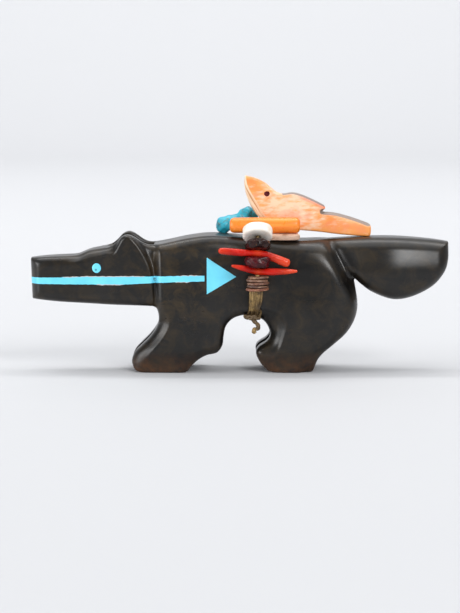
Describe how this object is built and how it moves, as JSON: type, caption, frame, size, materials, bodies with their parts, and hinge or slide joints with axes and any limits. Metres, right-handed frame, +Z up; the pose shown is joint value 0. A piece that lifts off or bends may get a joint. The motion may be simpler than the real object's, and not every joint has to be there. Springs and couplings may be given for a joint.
{
  "type": "carved stone animal figurine with offering bundle",
  "caption": "Polished dark stone animal on four feet with turquoise inlay lines and a bundle of shell, coral and beads lashed on its back with sinew.",
  "frame": {"origin": "under the middle of the whole object's bounding box, at the height of the soles", "axes": "+Z up, +X along the length towards the tail, so the muzzle points to -X; the bead string hangs on the -Y side"},
  "size_m": [0.0834, 0.022, 0.0387],
  "materials": {
    "black_stone": "gloss",
    "inlay_turquoise": "satin",
    "matrix_turquoise": "satin",
    "orange_shell": "satin",
    "orange_bead": "gloss",
    "pink_shell": "satin",
    "white_shell": "satin",
    "dark_bead": "gloss",
    "garnet": "gloss",
    "red_coral": "gloss",
    "brown_shell": "satin",
    "sinew": "matte"
  },
  "bodies": {
    "figure": {"stone_body": "black_stone", "left_heartline_shaft": "inlay_turquoise", "right_heartline_shaft": "inlay_turquoise", "left_arrowhead": "inlay_turquoise", "right_arrowhead": "inlay_turquoise", "left_eye": "inlay_turquoise", "right_eye": "inlay_turquoise", "mouth_inlay": "inlay_turquoise", "shell_bird": "orange_shell", "bird_left_eye": "dark_bead", "bird_right_eye": "dark_bead", "tube_bead": "orange_bead", "turquoise_nugget": "matrix_turquoise", "shell_slab": "pink_shell", "sinew_lashing": "sinew"},
    "white_bead": {"white_bead": "white_shell"},
    "dark_bead": {"dark_bead": "dark_bead"},
    "upper_coral": {"coral_branch_upper": "red_coral"},
    "garnet_bead": {"garnet_bead": "garnet"},
    "lower_coral": {"coral_branch_lower": "red_coral"},
    "disc_1": {"heishi_1": "brown_shell"},
    "disc_2": {"heishi_2": "brown_shell"},
    "disc_3": {"heishi_3": "brown_shell"},
    "disc_4": {"heishi_4": "brown_shell"},
    "disc_5": {"heishi_5": "brown_shell"}
  },
  "joints": [
    {"name": "white_bead_turn", "type": "hinge", "parent": "figure", "child": "white_bead", "pos_m": [0.00345, -0.00664, 0.02815], "axis": [0, 0.6157, 0.788], "continuous": true},
    {"name": "dark_bead_turn", "type": "hinge", "parent": "figure", "child": "dark_bead", "pos_m": [0.00345, -0.00793, 0.0257], "axis": [0, 0.342, 0.9397], "continuous": true},
    {"name": "upper_coral_swing", "type": "hinge", "parent": "figure", "child": "upper_coral", "pos_m": [0.00345, -0.00839, 0.02375], "axis": [0, 0, 1], "range_deg": [-15, 15]},
    {"name": "garnet_bead_turn", "type": "hinge", "parent": "figure", "child": "garnet_bead", "pos_m": [0.00345, -0.00843, 0.022], "axis": [0, 0, 1], "continuous": true},
    {"name": "lower_coral_swing", "type": "hinge", "parent": "figure", "child": "lower_coral", "pos_m": [0.00345, -0.00843, 0.02036], "axis": [0, 0, 1], "range_deg": [-15, 15]},
    {"name": "disc_1_turn", "type": "hinge", "parent": "figure", "child": "disc_1", "pos_m": [0.00345, -0.00843, 0.01932], "axis": [0, 0, 1], "continuous": true},
    {"name": "disc_2_turn", "type": "hinge", "parent": "figure", "child": "disc_2", "pos_m": [0.00345, -0.00843, 0.01873], "axis": [0, 0, 1], "continuous": true},
    {"name": "disc_3_turn", "type": "hinge", "parent": "figure", "child": "disc_3", "pos_m": [0.00345, -0.00843, 0.01814], "axis": [0, 0, 1], "continuous": true},
    {"name": "disc_4_turn", "type": "hinge", "parent": "figure", "child": "disc_4", "pos_m": [0.00345, -0.00843, 0.01755], "axis": [0, 0, 1], "continuous": true},
    {"name": "disc_5_turn", "type": "hinge", "parent": "figure", "child": "disc_5", "pos_m": [0.00345, -0.00843, 0.01696], "axis": [0, 0, 1], "continuous": true}
  ]
}
